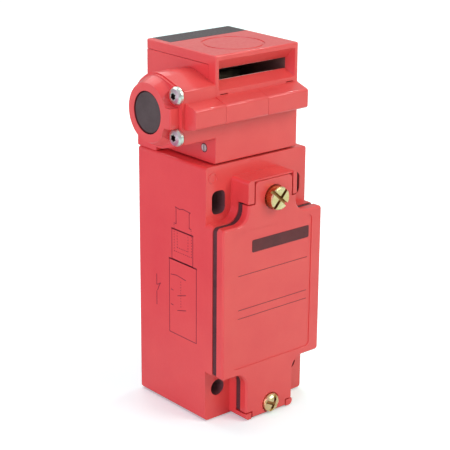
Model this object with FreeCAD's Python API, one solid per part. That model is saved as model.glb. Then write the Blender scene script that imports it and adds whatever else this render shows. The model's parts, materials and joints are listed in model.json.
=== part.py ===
import FreeCAD, Part
import math
import os

# Tongue interlock switch with a push-button release. Millimetres.
# The origin is the middle of the conduit entry's mouth, on the turret's turning axis.
# +Z points up to the head, -Y to the front cover, +X to the side without the button.

Vector = FreeCAD.Vector

# body casing
body_width = 40.0
body_depth = 33.0
body_height = 81.4
body_wall = 3.0
edge_round = 1.0
flange_step = 3.2
fixing_side_margin = 5.0
fixing_top_margin = 11.4
fixing_low_z = 10.0
fixing_hole = 5.3
fixing_slot = 7.3
fixing_slot_corner = 1.9
block_left = 10.25
block_right = 9.1
block_drop = 4.2
block_corner = 1.2
shoulder_reach = 5.9
shoulder_fillet = 4.2
entry_bore = 18.5
entry_length = 12.0
entry_throat = 16.4
cavity_margin = 2.1
roof_wall = 3.5

# cover, gasket and lugs
gasket_thick = 2.0
cover_thick = 2.8
cover_round = 1.2
cover_edge = 0.5
cover_rim_gap = 0.3
lug_left_wide = 2.3
lug_right_low_wide = 2.5
lug_right_high_wide = 1.55
lug_gap = 0.5
lug_low_top = 2.0
lug_high_tall = 7.0
tongue_corner = 1.2
lip_tall = 0.5
lip_set = 0.4
lip_gap = 0.1
field_side_margin = 4.2
field_low_margin = 2.5
field_high_margin = 1.9
field_depth = 0.25

# cover screws
cover_screw_high_drop = 6.4
cover_screw_low_z = 3.3
cover_screw_head = 7.2
cover_screw_head_high = 3.4
cover_screw_dome = 6.2
cover_screw_dome_high = 2.4
cover_screw_shank = 3.9
cover_screw_length = 11.5
cover_screw_slot = 1.05
cover_screw_slot_deep = 1.3
cover_screw_sunk_high = 0.5
cover_screw_sunk_low = 0.7
screw_turn_high = 42.0
screw_turn_low = 24.0

# turret head
seal_thick = 0.4
seal_inset = 1.2
head_size = 32.4
head_height = 32.3
hood_top_thick = 2.9
hood_front_thick = 3.3
hood_drop = 11.8
hood_proud = 0.12
seam_wide = 0.22
seam_deep = 0.5
head_wall = 2.2
head_floor = 3.0
head_edge = 0.6
head_corner = 0.25
top_ring_radius = 9.6
top_ring_wide = 0.7
top_ring_deep = 0.2
top_ring_y = -4.9
spigot_radius = 8.5
spigot_gap = 0.1
spigot_reach = 1.9
clip_thick = 1.0
clip_groove = 0.9
clip_radius = 9.3

# tongue entries
slot_side_wall = 2.2
slot_tall = 3.2
slot_drop = 4.9
mouth_side_wall = 1.2
mouth_tall = 8.9
mouth_drop = 1.5
relief_margin = 0.6
relief_wide = 3.0
plug_side_wall = 1.9
plug_depth = 9.1
plug_tongue = 3.0
plug_tongue_gap = 0.4
plug_tongue_reach = 4.5

# front bar in two halves
bar_reach = 5.0
bar_gap = 0.1
bar_top_slope = 1.6
bar_front_tall = 5.6
bar_low_slope = 1.2
bar_round_top = 0.9
bar_round_low = 0.9
bar_split = 0.08

# release housing on the left side of the head
release_y = -4.3
release_rise = 15.8
overhang = 12.0
cap_thick = 4.0
housing_radius = 11.2
housing_front_half = 8.0
housing_proud = 0.2
housing_corner = 0.8
arm_inset = 0.4
foot_gap = 0.2
foot_front_y = 7.0
foot_top_rise = 1.0
foot_low_tall = 8.0
foot_round = 4.0
cap_inset = 0.35
cap_ring_radius = 8.8
cap_web_half = 3.0
cap_web_set = 1.2
cap_screw_margin = 1.6
cap_screw_rise = 6.1
cap_screw_lift = 0.4
cap_pocket_radius = 3.4
cap_ear_thick = 0.8
cap_screw_head = 5.3
cap_screw_head_high = 1.8
cap_screw_shank = 2.6
cap_screw_length = 9.0
cap_screw_recess = 2.5

# release button and its rod
button_radius = 6.2
button_gap = 0.2
button_sunk = 0.3
button_edge = 0.3
button_flange_radius = 7.3
button_flange_thick = 1.1
button_travel = 3.0
button_seat_gap = 0.1
button_hub_radius = 2.4
button_hub_tall = 1.2
rod_radius = 1.2
rod_gap = 0.05
rod_sunk = 1.5
dog_gap = 0.2
dog_wall_gap = 0.38
dog_wheel_gap = 0.8
spring_room_radius = 5.0
spring_room_wall = 2.3
button_coil_radius = 3.6
button_wire_radius = 0.4

# cam wheel, shaft and plunger
wheel_floor_gap = 3.8
wheel_slot_gap = 0.4
wheel_half = 6.0
cam_half = 2.6
cam_depth = 3.2
plunger_travel = 3.0
cam_turn = 60.0
shaft_radius = 1.75
shaft_gap = 0.03
wheel_notch = 3.2
wheel_notch_deep = 2.6
plunger_radius = 2.5
plunger_gap = 0.05
plunger_tip = 1.5
plunger_tip_gap = 0.25
bush_radius = 5.0

# contact block
poles = (-1, 0, 1)
block_tall = 34.0
block_clear = 5.4
block_front = -8.0
block_side_gap = 0.5
terminal_sunk = 1.0
contact_drop = 12.0
strip_thick = 0.8
strip_width = 4.6
strip_screw_gap = 0.6
bridge_thick = 0.8
bridge_gap = 0.2
bridge_width = 3.6
bridge_front = -1.9
bridge_rear = 8.0
bridge_spring_tall = 5.0
carrier_front = 0.5
carrier_rear = 5.5
carrier_side = 3.0
carrier_low_wall = 7.2
carrier_proud = 0.5
carrier_gap = 0.3
carrier_stem = 4.5
window_half = 2.6
return_spring_sunk = 6.5
spring_hole_radius = 2.2
coil_radius = 1.6
coil_wire_radius = 0.3
terminal_high_drop = 5.5
terminal_low_rise = 6.2
terminal_plate_half = 3.4
terminal_head = 4.8
terminal_head_high = 2.0
terminal_screw_length = 5.4
clamp_side = 6.0
clamp_thick = 1.0
small_shank = 2.6
screw_slot_half = 0.4
screw_slot_deep = 0.7
block_screw_margin = 2.3
block_screw_rise = 13.0
block_screw_bite = 2.0

# small screws in the head and casing
set_screw_y = -11.0
set_screw_rise = 4.0
set_screw_radius = 1.1
earth_margin = 5.0
earth_screw_length = 3.8
earth_y = -12.0

# planes and places that follow from the sizes above
back = body_depth / 2
pocket_front = -body_depth / 2
flange_front = pocket_front - flange_step
cover_back = flange_front - gasket_thick
cover_front = cover_back - cover_thick
body_half = body_width / 2
fixing_x = body_half - fixing_side_margin
fixing_high_z = body_height - fixing_top_margin
block_top = body_height - block_drop
shoulder_low = fixing_low_z + shoulder_reach
shoulder_high = fixing_high_z - shoulder_reach
cavity_half = body_half - body_wall
cavity_low = shoulder_low + cavity_margin
cavity_high = shoulder_high - cavity_margin
neck_half = clip_radius + 0.2
neck_front = -clip_radius - 1.2
lug_high_low = block_top - lug_high_tall
cover_screw_high_z = block_top - cover_screw_high_drop
head_half = head_size / 2
block_face = head_half - hood_proud
head_inner = block_face - head_wall
head_low = body_height + seal_thick
head_top = head_low + head_height
hood_under = head_top - hood_top_thick
hood_low = head_top - hood_drop
hood_rear = -head_half + hood_front_thick
slot_high = head_top - slot_drop
slot_low = slot_high - slot_tall
slot_half = head_half - slot_side_wall
mouth_half = head_half - mouth_side_wall
relief_far = mouth_half - relief_margin
relief_near = relief_far - relief_wide
mouth_high = head_top - mouth_drop
mouth_low = mouth_high - mouth_tall
bar_front = -head_half - bar_reach
bar_top_back = hood_low - bar_gap
bar_top_front = bar_top_back - bar_top_slope
bar_low_front = bar_top_front - bar_front_tall
bar_low_back = bar_low_front - bar_low_slope
release_z = head_low + release_rise
housing_left = -body_half - overhang + cap_thick
cap_left = housing_left - cap_thick
arm_left = housing_left + arm_inset
cap_screw_y = -head_half + cap_screw_margin
plug_front = head_half - plug_depth
plug_left = -head_half + plug_side_wall
roof_under = body_height - roof_wall
spigot_low = roof_under - spigot_reach
flange_travel_end = housing_left + button_seat_gap + button_flange_thick + button_travel
flange_room = flange_travel_end + button_seat_gap
spring_room_end = -head_half - spring_room_wall
button_left = cap_left + button_sunk
wheel_radius = (slot_low - head_low - head_floor - wheel_floor_gap - wheel_slot_gap) / 2
wheel_z = slot_low - wheel_slot_gap - wheel_radius
cam_low_radius = wheel_radius - cam_depth
rod_end_x = -wheel_half - dog_wheel_gap - button_travel
dog_left = -head_inner + dog_wall_gap
dog_radius = math.hypot(release_y, release_z - wheel_z) - shaft_radius - dog_gap
block_high = cavity_high - block_clear
block_low = block_high - block_tall
contact_level = block_high - contact_drop
bridge_low = contact_level + plunger_travel + bridge_gap
strip_front = block_front + terminal_sunk - strip_thick
carrier_middle = (carrier_front + carrier_rear) / 2
carrier_low = bridge_low - carrier_low_wall
carrier_high = block_high + carrier_proud
window_high = bridge_low + bridge_thick + bridge_spring_tall
stem_top = carrier_high + carrier_stem
return_floor = block_low + return_spring_sunk
terminal_high_z = block_high - terminal_high_drop
terminal_low_z = block_low + terminal_low_rise
block_screw_x = cavity_half - block_side_gap - block_screw_margin
block_screw_z = block_low + block_screw_rise
pole_pitch = block_screw_x - small_shank / 2 - strip_screw_gap - strip_width / 2
carrier_half = pole_pitch + carrier_side
set_screw_z = head_low + set_screw_rise
earth_x = cavity_half - earth_margin


def box(x0, x1, y0, y1, z0, z1):
    return Part.makeBox(x1 - x0, y1 - y0, z1 - z0, Vector(x0, y0, z0))


def cylinder_x(radius, x0, x1, y, z):
    return Part.makeCylinder(radius, x1 - x0, Vector(x0, y, z), Vector(1, 0, 0))


def cylinder_y(radius, y0, y1, x, z):
    return Part.makeCylinder(radius, y1 - y0, Vector(x, y0, z), Vector(0, 1, 0))


def cylinder_z(radius, z0, z1, x=0.0, y=0.0):
    return Part.makeCylinder(radius, z1 - z0, Vector(x, y, z0), Vector(0, 0, 1))


def rounded_wire(corners):
    """A closed wire through 3D corners, each given with its rounding radius."""
    count = len(corners)
    ends = []
    for index in range(count):
        point, radius = corners[index]
        before = (corners[index - 1][0] - point).normalize()
        after = (corners[(index + 1) % count][0] - point).normalize()
        if radius <= 0:
            ends.append((point, None, point))
            continue
        half = before.getAngle(after) / 2
        run = radius / math.tan(half)
        middle = (before + after).normalize()
        centre = point + middle * (radius / math.sin(half))
        ends.append((point + before * run, centre - middle * radius, point + after * run))
    edges = []
    for index in range(count):
        start, through, stop = ends[index]
        if through is not None:
            edges.append(Part.Arc(start, through, stop).toShape())
        following = ends[(index + 1) % count][0]
        if (following - stop).Length > 1e-6:
            edges.append(Part.makeLine(stop, following))
    return Part.Wire(edges)


def prism_y(corners, y0, y1):
    """Corners (x, z, radius) extruded from y0 to y1."""
    wire = rounded_wire([(Vector(x, y0, z), radius) for x, z, radius in corners])
    return Part.Face(wire).extrude(Vector(0, y1 - y0, 0))


def prism_x(corners, x0, x1):
    """Corners (y, z, radius) extruded from x0 to x1."""
    wire = rounded_wire([(Vector(x0, y, z), radius) for y, z, radius in corners])
    return Part.Face(wire).extrude(Vector(x1 - x0, 0, 0))


def prism_z(corners, z0, z1):
    """Corners (x, y, radius) extruded from z0 to z1."""
    wire = rounded_wire([(Vector(x, y, z0), radius) for x, y, radius in corners])
    return Part.Face(wire).extrude(Vector(0, 0, z1 - z0))


def rectangle(half_x, low, high, radius):
    return [(-half_x, low, radius), (half_x, low, radius), (half_x, high, radius), (-half_x, high, radius)]


def edges_where(shape, test):
    return [edge for edge in shape.Edges if test(edge.BoundBox)]


def flat_at_y(y):
    return lambda bounds: abs(bounds.YMin - y) < 1e-4 and abs(bounds.YMax - y) < 1e-4


def helix_spring(radius, wire_radius, turns, start, axis, length):
    """An open coil spring of short straight runs of hexagonal wire, from start along axis."""
    rise = length - 2 * wire_radius
    runs = 12 * turns
    path = []
    for step in range(runs + 1):
        angle = math.radians(30 * step)
        path.append(Vector(radius * math.cos(angle), radius * math.sin(angle), rise * step / runs))
    corners = []
    for side in range(6):
        angle = math.radians(60 * side)
        corners.append(Vector(radius + wire_radius * math.cos(angle), 0, wire_radius * math.sin(angle)))
    profile = Part.makePolygon(corners + corners[:1])
    spring = Part.makePolygon(path).makePipeShell([profile], True, False, 1)
    turn = FreeCAD.Rotation(Vector(0, 0, 1), axis)
    spring.Placement = FreeCAD.Placement(start + axis * wire_radius, turn)
    return spring


def half_outline(side, narrow, inset):
    """One side of the raised front, from bottom to top."""
    wide = body_half - inset
    low = shoulder_low + inset
    high = shoulder_high - inset
    return [
        (side * narrow, inset, block_corner),
        (side * narrow, low, shoulder_fillet),
        (side * wide, low, cover_round),
        (side * wide, high, cover_round),
        (side * narrow, high, shoulder_fillet),
        (side * narrow, block_top - inset, 1.0),
    ]


def front_outline(inset):
    """The outline of the raised front: wide in the middle, narrow between the fixing pockets."""
    left = half_outline(-1, block_left - inset, inset)
    return half_outline(1, block_right - inset, inset) + left[::-1]


def cavity_outline(grow):
    return [
        (cavity_half + grow, cavity_low - grow, 1.5),
        (cavity_half + grow, cavity_high + grow, 1.5),
        (-cavity_half - grow, cavity_high + grow, 1.5),
        (-cavity_half - grow, cavity_low - grow, 1.5),
    ]


def fixing_holes():
    cuts = []
    for side in (-1, 1):
        x = side * fixing_x
        cuts.append(cylinder_y(fixing_hole / 2, pocket_front - 1, back + 1, x, fixing_low_z))
        half_run = (fixing_slot - fixing_hole) / 2
        slot = [
            (x - fixing_hole / 2, fixing_high_z - half_run - fixing_hole / 2, fixing_slot_corner),
            (x + fixing_hole / 2, fixing_high_z - half_run - fixing_hole / 2, fixing_slot_corner),
            (x + fixing_hole / 2, fixing_high_z + half_run + fixing_hole / 2, fixing_slot_corner),
            (x - fixing_hole / 2, fixing_high_z + half_run + fixing_hole / 2, fixing_slot_corner),
        ]
        cuts.append(prism_y(slot, pocket_front - 1, back + 1))
    return cuts


def lugs(grow=0.0, lip_grow=0.0):
    """Four small cheeks that flank the ends of the cover, and the lip above its upper end."""
    lip_front = cover_front - 1 if lip_grow else cover_front + lip_set
    made = [box(-block_left + lug_left_wide, block_right - lug_right_high_wide, lip_front, flange_front,
                block_top - lip_tall - lip_grow, block_top + lip_grow)]
    sides = (
        (-1, block_left, lug_left_wide, lug_left_wide),
        (1, block_right, lug_right_low_wide, lug_right_high_wide),
    )
    for side, outer, low_wide, high_wide in sides:
        edge = side * (outer + grow)
        low_inner = side * (outer - low_wide - grow)
        high_inner = side * (outer - high_wide - grow)
        made.append(prism_y([
            (edge, -grow, block_corner), (edge, lug_low_top + grow, 0.0),
            (low_inner, lug_low_top + grow, 0.0), (low_inner, -grow, 0.0),
        ], cover_front, flange_front))
        made.append(prism_y([
            (edge, lug_high_low - grow, 0.0), (edge, block_top + grow, 1.0),
            (high_inner, block_top + grow, 0.0), (high_inner, lug_high_low - grow, 0.0),
        ], cover_front, flange_front))
    return made


def cover_screw_places():
    return (
        (cover_screw_high_z, cover_front + cover_screw_sunk_high, screw_turn_high, cover_screw_head / 2),
        (cover_screw_low_z, cover_front + cover_screw_sunk_low, screw_turn_low, cover_screw_dome / 2),
    )


def make_body_casing():
    shell = box(-body_half, body_half, pocket_front, back, 0, body_height)
    shell = shell.makeFillet(edge_round, edges_where(shell, lambda b: b.YMin > back - 1e-4 or (
        b.YLength > 1 and (b.ZMin > body_height - 1e-4 or b.ZMax < 1e-4))))
    shell = shell.fuse(prism_y(front_outline(0.0), flange_front, pocket_front))
    shell = shell.fuse(lugs()).removeSplitter()
    shell = shell.cut(prism_y(cavity_outline(0.0), flange_front - 1, back - body_wall))
    cuts = fixing_holes()
    cuts.append(box(-neck_half, neck_half, neck_front, back - body_wall, cavity_high - 1, roof_under))
    cuts.append(cylinder_z(entry_bore / 2, -1, entry_length))
    cuts.append(cylinder_z(entry_throat / 2, entry_length - 1, cavity_low + 1))
    cuts.append(cylinder_z(spigot_radius + spigot_gap, roof_under - 0.5, body_height + 1))
    for z, seat, turn, head_radius in cover_screw_places():
        cuts.append(cylinder_y(cover_screw_shank / 2, flange_front - 1, seat + cover_screw_length, 0, z))
    for x in (-block_screw_x, block_screw_x):
        cuts.append(cylinder_y(small_shank / 2, back - body_wall - 1, back - body_wall + block_screw_bite,
                               x, block_screw_z))
    cuts.append(cylinder_z(small_shank / 2, cavity_low - earth_screw_length - 0.2, cavity_low + 1,
                           earth_x, earth_y))
    return shell.cut(cuts).removeSplitter()


def make_cover_gasket():
    sheet = prism_y(front_outline(cover_rim_gap), cover_back, flange_front)
    sheet = sheet.cut(prism_y(cavity_outline(0.3), cover_back - 1, flange_front + 1))
    sheet = sheet.cut(lugs(lug_gap, lip_gap))
    for z, seat, turn, head_radius in cover_screw_places():
        sheet = sheet.cut(cylinder_y(cover_screw_shank / 2 + 0.2, cover_back - 1, flange_front + 1, 0, z))
    return sheet.removeSplitter()


def make_front_cover():
    plate = prism_y(front_outline(0.05), cover_front, cover_back)
    plate = plate.makeChamfer(cover_edge, edges_where(plate, flat_at_y(cover_front)))
    plate = plate.cut(lugs(lug_gap, lip_gap))
    tongue_top = block_top - lip_tall - lip_gap
    plate = plate.makeFillet(tongue_corner, edges_where(
        plate, lambda b: b.YLength > 1 and b.XLength < 1e-4 and abs(b.ZMin - tongue_top) < 1e-4))
    field = rectangle(body_half - field_side_margin, shoulder_low + field_low_margin,
                      shoulder_high - field_high_margin, 1.5)
    plate = plate.cut(prism_y(field, cover_front - 1, cover_front + field_depth))
    for z, seat, turn, head_radius in cover_screw_places():
        plate = plate.cut(cylinder_y(cover_screw_shank / 2 + 0.2, cover_front - 1, cover_back + 1, 0, z))
        plate = plate.cut(cylinder_y(head_radius + 0.3, cover_front - 1, seat, 0, z))
    return plate.removeSplitter()


def cheese_head(seat):
    front = seat - cover_screw_head_high
    head = cylinder_y(cover_screw_head / 2, front, seat, 0, 0)
    return head.makeChamfer(0.35, edges_where(head, flat_at_y(front)))


def domed_head(seat):
    radius = cover_screw_dome / 2
    high = cover_screw_dome_high
    outline = [
        Vector(0, seat - high, 0), Vector(radius * 0.4, seat - high * 0.96, 0),
        Vector(radius * 0.72, seat - high * 0.82, 0), Vector(radius * 0.93, seat - high * 0.55, 0),
        Vector(radius, seat - high * 0.2, 0), Vector(radius, seat, 0), Vector(0, seat, 0),
    ]
    return Part.Face(Part.makePolygon(outline + outline[:1])).revolve(Vector(0, 0, 0), Vector(0, 1, 0), 360)


def cover_screw(head, front, seat, z, turn):
    """A screw that points along +Y, with a crossed slot in its head."""
    screw = head.fuse(cylinder_y(cover_screw_shank / 2, seat, seat + cover_screw_length - 0.5, 0, 0))
    for step in (0, 90):
        slot = box(-cover_screw_head, cover_screw_head, front - 1, front + cover_screw_slot_deep,
                   -cover_screw_slot / 2, cover_screw_slot / 2)
        slot.rotate(Vector(0, 0, 0), Vector(0, 1, 0), turn + step)
        screw = screw.cut(slot)
    screw.translate(Vector(0, 0, z))
    return screw


def make_cover_screws():
    high, low = cover_screw_places()
    z, seat, turn, radius = high
    upper = cover_screw(cheese_head(seat), seat - cover_screw_head_high, seat, z, turn)
    z, seat, turn, radius = low
    lower = cover_screw(domed_head(seat), seat - cover_screw_dome_high, seat, z, turn)
    return Part.makeCompound([upper, lower])


def make_head_seal():
    half = head_half - seal_inset
    ring = prism_z(rectangle(half, -half, half, 2.0), body_height, head_low)
    return ring.cut(cylinder_z(spigot_radius + spigot_gap, body_height - 1, head_low + 1))


def make_head_block():
    profile = [
        (head_half, head_low, 0.5), (head_half, hood_under, 0.3), (hood_rear, hood_under, 0.0),
        (hood_rear, hood_low, 0.0), (-head_half, hood_low, 0.0), (-head_half, head_low, 0.5),
    ]
    block = prism_x(profile, -block_face, block_face)
    floor = head_low + head_floor
    block = block.cut(box(-head_inner, head_inner, hood_rear + head_wall, head_half - head_wall,
                          floor, hood_under + 1))
    gate = box(-head_inner, head_inner, hood_rear - 1, hood_rear + head_wall + 1,
               slot_low - 0.6, hood_under + 1)
    block = block.cut(gate)
    for side in (-1, 1):
        left = min(side * block_face, side * (block_face - seam_deep))
        right = left + seam_deep
        block = block.cut(box(left, right, hood_rear, head_half + 1, hood_under - seam_wide, hood_under))
        block = block.cut(box(left, right, hood_rear, hood_rear + seam_wide, hood_low, hood_under))
    spigot = cylinder_z(spigot_radius, spigot_low, head_low + 0.5)
    groove = cylinder_z(spigot_radius + 1, roof_under - 0.1 - clip_thick, roof_under - 0.1)
    groove = groove.cut(cylinder_z(spigot_radius - clip_groove, spigot_low, roof_under))
    block = block.fuse(spigot.cut(groove))
    cuts = [
        cylinder_z(bush_radius, spigot_low - 1, floor + 1),
        cylinder_x(shaft_radius + shaft_gap, -head_half - 1, head_half + 1, 0, wheel_z),
        cylinder_x(rod_radius + rod_gap, -head_half - 1, 0, release_y, release_z),
        cylinder_x(set_screw_radius, -head_half - 1, -block_face + 2.0, set_screw_y, set_screw_z),
    ]
    return block.cut(cuts).removeSplitter()


def make_head_hood():
    profile = [
        (head_half, hood_under, 0.0), (head_half, head_top, 0.4), (-head_half, head_top, head_edge),
        (-head_half, hood_low, 0.0), (hood_rear, hood_low, 0.0), (hood_rear, hood_under, 0.0),
    ]
    hood = prism_x(profile, -head_half, head_half)
    hood = hood.makeChamfer(head_corner, edges_where(
        hood, lambda b: b.ZLength > 5 and b.YMax < -head_half + 1e-4))
    hood = hood.cut(box(plug_left, head_half + 1, plug_front, head_half + 1, hood_under - 1, head_top + 1))
    ring = cylinder_z(top_ring_radius, head_top - top_ring_deep, head_top + 1, 0, top_ring_y)
    island = cylinder_z(top_ring_radius - top_ring_wide, head_top - 1, head_top + 1, 0, top_ring_y)
    hood = hood.cut(ring.cut(island))
    mouth = Part.makeLoft([
        rounded_wire([(Vector(x, -head_half - 0.01, z), 0.3) for x, z in (
            (-mouth_half, mouth_low), (mouth_half, mouth_low),
            (mouth_half, mouth_high), (-mouth_half, mouth_high))]),
        rounded_wire([(Vector(x, hood_rear + 0.01, z), 0.3) for x, z in (
            (-slot_half, slot_low), (slot_half, slot_low),
            (slot_half, slot_high), (-slot_half, slot_high))]),
    ], True, True)
    hood = hood.cut(mouth)
    reliefs = box(-relief_far, relief_far, -head_half - 1, -head_half + 1.2, hood_low - 1, hood_low + 0.35)
    between = box(-relief_near, relief_near, -head_half - 2, -head_half + 2, hood_low - 2, hood_low + 1)
    hood = hood.cut(reliefs.cut(between))
    return hood.removeSplitter()


def make_top_slot_plug():
    plate = box(plug_left + 0.1, head_half, plug_front + 0.1, head_half, hood_under, head_top)
    plate = plate.makeFillet(0.3, edges_where(plate, lambda b: b.ZMin > head_top - 1e-4))
    middle_y = (plug_front + head_half) / 2 - 0.6
    tongue = box(-head_inner + plug_tongue_gap, head_inner - plug_tongue_gap, middle_y - plug_tongue / 2,
                 middle_y + plug_tongue / 2, hood_under - plug_tongue_reach, hood_under)
    return plate.fuse(tongue).removeSplitter()


def bar_profile(back_y):
    return [
        (back_y, bar_low_back, 0.0), (back_y, bar_top_back, 0.0),
        (bar_front, bar_top_front, bar_round_top), (bar_front, bar_low_front, bar_round_low),
    ]


def make_front_bar_left():
    return prism_x(bar_profile(-head_half), -head_half, -bar_split / 2)


def make_front_bar_right():
    bar = prism_x(bar_profile(-head_half), bar_split / 2, head_half)
    ends = edges_where(bar, lambda b: b.XMin > head_half - 1e-4 and b.YMax < -head_half - 1e-4)
    return bar.makeFillet(0.5, ends)


def housing_side(inset, front_set, x0, x1):
    """A round back joined by two tangents to a flat front, as a prism along X."""
    radius = housing_radius - inset
    front = -head_half - front_set
    half = housing_front_half - inset
    reach = release_y - front
    touch = math.atan2(half, -reach) - math.acos(radius / math.hypot(reach, half))
    touch_y = release_y + radius * math.cos(touch)
    rise = radius * math.sin(touch)
    top = Vector(x0, touch_y, release_z + rise)
    low = Vector(x0, touch_y, release_z - rise)
    rear = Vector(x0, release_y + radius, release_z)
    corner_top = Vector(x0, front, release_z + half)
    corner_low = Vector(x0, front, release_z - half)
    edges = [
        Part.Arc(low, rear, top).toShape(),
        Part.makeLine(top, corner_top),
        Part.makeLine(corner_top, corner_low),
        Part.makeLine(corner_low, low),
    ]
    return Part.Face(Part.Wire(edges)).extrude(Vector(x1 - x0, 0, 0))


def make_side_housing():
    housing = housing_side(0.0, housing_proud, housing_left, -head_half)
    front_edges = edges_where(housing, lambda b: b.XLength > 1 and b.YMax < -head_half)
    housing = housing.makeFillet(housing_corner, front_edges)
    arm = prism_x(bar_profile(-head_half + 1), arm_left, -head_half - bar_split)
    foot_low = body_height + foot_gap
    foot_top = release_z + foot_top_rise
    foot_inner = release_y + housing_radius / 2
    foot = prism_x([
        (head_half, foot_low, 0.4), (head_half, foot_top, foot_round), (foot_inner, foot_top, 0.0),
        (foot_inner, foot_low + foot_low_tall, 0.0), (foot_front_y, foot_low + foot_low_tall, 0.0),
        (foot_front_y, foot_low, 0.4),
    ], -body_half, -head_half)
    housing = housing.fuse([arm, foot]).removeSplitter()
    cuts = [
        cylinder_x(button_flange_radius + button_gap, housing_left - 1, flange_room, release_y, release_z),
        cylinder_x(spring_room_radius, flange_room - 1, spring_room_end, release_y, release_z),
        cylinder_x(rod_radius + rod_gap, housing_left, -head_half + 1, release_y, release_z),
    ]
    for z in cap_screw_levels():
        cuts.append(cylinder_x(cap_screw_shank / 2, housing_left - 1, housing_left + cap_screw_length,
                               cap_screw_y, z))
    return housing.cut(cuts).removeSplitter()


def cap_screw_levels():
    middle = release_z + cap_screw_lift
    return (middle - cap_screw_rise, middle + cap_screw_rise)


def make_boss_cap():
    cone = Part.makeCone(cap_ring_radius, housing_radius - cap_inset, cap_thick,
                         Vector(cap_left, release_y, release_z), Vector(1, 0, 0))
    pocket_floor = housing_left - cap_ear_thick
    cone = cone.cut([cylinder_x(cap_pocket_radius, cap_left - 1, pocket_floor, cap_screw_y, z)
                     for z in cap_screw_levels()])
    ears = housing_side(cap_inset, housing_proud - 0.05, pocket_floor, housing_left)
    web = box(cap_left, housing_left, -head_half + cap_web_set, release_y,
              release_z - cap_web_half, release_z + cap_web_half)
    web = web.makeFillet(0.4, edges_where(
        web, lambda b: b.YMax < release_y - 1 and b.XMax < housing_left - 1))
    cap = cone.fuse([ears, web]).removeSplitter()
    cuts = [cylinder_x(cap_screw_shank / 2 + 0.1, cap_left - 1, housing_left + 1, cap_screw_y, z)
            for z in cap_screw_levels()]
    cuts.append(cylinder_x(button_radius + button_gap, cap_left - 1, housing_left + 1, release_y, release_z))
    return cap.cut(cuts).removeSplitter()


def pan_screw(y, z):
    """A domed screw that points along +X, with a six-lobed recess."""
    seat = housing_left - cap_ear_thick
    radius = cap_screw_head / 2
    high = cap_screw_head_high
    outline = [
        Vector(seat - high, 0, 0), Vector(seat - high * 0.98, radius * 0.5, 0),
        Vector(seat - high * 0.82, radius * 0.84, 0), Vector(seat - high * 0.42, radius, 0),
        Vector(seat, radius, 0), Vector(seat, 0, 0),
    ]
    face = Part.Face(Part.makePolygon(outline + outline[:1]))
    head = face.revolve(Vector(0, 0, 0), Vector(1, 0, 0), 360)
    screw = head.fuse(cylinder_x(cap_screw_shank / 2, seat, seat + cap_screw_length, 0, 0))
    star = []
    for point in range(12):
        angle = math.radians(30 * point)
        reach = cap_screw_recess / 2 * (1.0 if point % 2 else 0.68)
        star.append(Vector(seat - high - 1, reach * math.cos(angle), reach * math.sin(angle)))
    recess = Part.Face(Part.makePolygon(star + star[:1])).extrude(Vector(1 + high * 0.6, 0, 0))
    screw = screw.cut(recess)
    screw.translate(Vector(0, y, z))
    return screw


def make_boss_cap_screws():
    return Part.makeCompound([pan_screw(cap_screw_y, z) for z in cap_screw_levels()])


def make_turret_set_screw():
    screw = cylinder_x(set_screw_radius, -head_half, -block_face + 2.0, set_screw_y, set_screw_z)
    slot = box(-head_half - 1, -head_half + 0.6, set_screw_y - 0.2, set_screw_y + 0.2,
               set_screw_z - 2, set_screw_z + 2)
    return screw.cut(slot)


def make_head_retaining_clip():
    top = roof_under - 0.15
    ring = cylinder_z(clip_radius, top - clip_thick + 0.1, top)
    ring = ring.cut(cylinder_z(spigot_radius - clip_groove, spigot_low - 1, roof_under))
    opening = box(-3.0, 3.0, 0, clip_radius + 1, spigot_low - 1, roof_under)
    return ring.cut(opening)


def make_plunger_bush():
    floor = head_low + head_floor
    bush = cylinder_z(bush_radius, spigot_low, floor)
    return bush.cut(cylinder_z(plunger_radius + plunger_gap, spigot_low - 1, floor + 1))


def make_release_button():
    flange_left = housing_left + button_seat_gap
    disc = cylinder_x(button_radius, button_left, flange_left + 0.1, release_y, release_z)
    disc = disc.makeChamfer(button_edge, edges_where(disc, lambda b: b.XMax < button_left + 1e-4))
    flange = cylinder_x(button_flange_radius, flange_left, flange_left + button_flange_thick,
                        release_y, release_z)
    hub_end = flange_left + button_flange_thick + button_hub_tall
    hub = cylinder_x(button_hub_radius, flange_left, hub_end, release_y, release_z)
    button = disc.fuse([flange, hub])
    socket = cylinder_x(rod_radius, flange_left - rod_sunk, hub_end + 1, release_y, release_z)
    return button.cut(socket).removeSplitter()


def make_release_rod():
    start = housing_left + button_seat_gap - rod_sunk
    return cylinder_x(rod_radius, start, rod_end_x, release_y, release_z)


def make_lock_dog():
    dog = cylinder_x(dog_radius, dog_left, rod_end_x, release_y, release_z)
    dog = dog.makeChamfer(0.4, edges_where(dog, lambda b: b.XMin > rod_end_x - 1e-4))
    return dog.cut(cylinder_x(rod_radius, dog_left - 1, rod_end_x + 1, release_y, release_z))


def make_button_spring():
    start = housing_left + button_seat_gap + button_flange_thick + 0.1
    stop = spring_room_end - 0.1
    return helix_spring(button_coil_radius, button_wire_radius, 4, Vector(start, release_y, release_z),
                        Vector(1, 0, 0), stop - start)


def cam_outline():
    """The spiral flank that pushes the plunger down as the wheel turns."""
    rise = plunger_travel / math.radians(cam_turn)
    points = []
    for step in range(-2, 15):
        angle = math.radians(5.0 * step)
        radius = cam_low_radius + rise * max(0.0, min(math.radians(cam_turn), angle))
        points.append(Vector(0, radius * math.sin(angle), wheel_z - radius * math.cos(angle)))
    return points


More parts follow.
